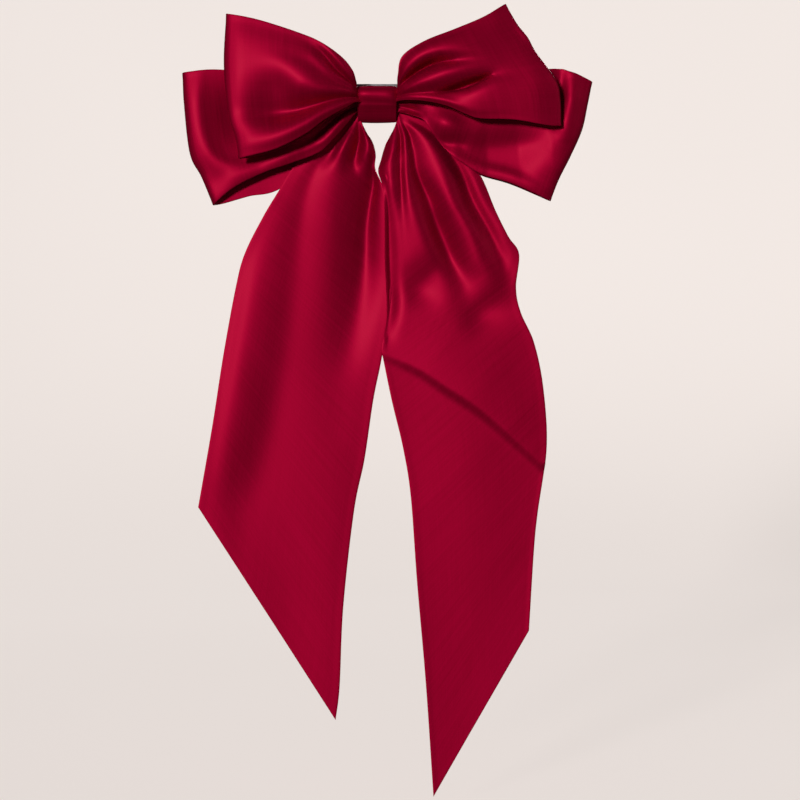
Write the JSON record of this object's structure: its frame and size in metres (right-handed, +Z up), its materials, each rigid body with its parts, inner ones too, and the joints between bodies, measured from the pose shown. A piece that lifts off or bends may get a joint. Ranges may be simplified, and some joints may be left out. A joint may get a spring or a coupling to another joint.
{
  "type": "hair bow",
  "caption": "Layered satin ribbon bow with long diagonal-cut tails, gathered by a centre band and glued to a spring barrette that grips the hair.",
  "frame": {"origin": "middle of the gap between the barrette's arm and its leaf spring, where the hair is gripped", "axes": "+X right as the bow is seen from the front, +Y away from the viewer towards the head, +Z up; the bow faces -Y and its tails hang along -Z"},
  "size_m": [0.1897, 0.0364, 0.3632],
  "materials": {
    "satin": "wine red satin with a soft sheen",
    "band_satin": "wine red satin, pleated",
    "thread": "matt sewing thread",
    "glue": "set hot-melt glue, slightly cloudy",
    "dark_steel": "dark nickel plating",
    "spring_steel": "bright nickel plating"
  },
  "bodies": {
    "bow": {"front_bow_ribbon": "satin", "rear_bow_ribbon": "satin", "tail_ribbon": "satin", "centre_band": "band_satin", "binding_thread": "thread", "adhesive_pad": "glue", "barrette_base": "dark_steel", "hinge_pin": "spring_steel", "spring_rivet": "spring_steel", "latch_rivet": "spring_steel", "latch_strap": "spring_steel"},
    "arm": {"clasp_arm": "dark_steel"},
    "leaf": {"tension_spring": "spring_steel"},
    "upper_tab": {"upper_latch_tab": "spring_steel"},
    "lower_tab": {"lower_latch_tab": "spring_steel"}
  },
  "joints": [
    {"name": "clasp_hinge", "type": "hinge", "parent": "bow", "child": "arm", "pos_m": [0.0366, 0.0016, 0], "axis": [0, 0, -1], "range_deg": [0, 80]},
    {"name": "spring_flex", "type": "hinge", "parent": "bow", "child": "leaf", "pos_m": [0.031, -0.004, 0], "axis": [0, 0, 1], "range_deg": [0, 0.9], "stiffness_Nm_per_rad": 1},
    {"name": "upper_tab_pinch", "type": "hinge", "parent": "bow", "child": "upper_tab", "pos_m": [-0.0353, -0.0038, 0.00225], "axis": [-1, 0, 0], "range_deg": [0, 6], "stiffness_Nm_per_rad": 0.05},
    {"name": "lower_tab_pinch", "type": "hinge", "parent": "bow", "child": "lower_tab", "pos_m": [-0.0353, -0.0038, -0.00225], "axis": [1, 0, 0], "range_deg": [0, 6], "stiffness_Nm_per_rad": 0.05}
  ]
}
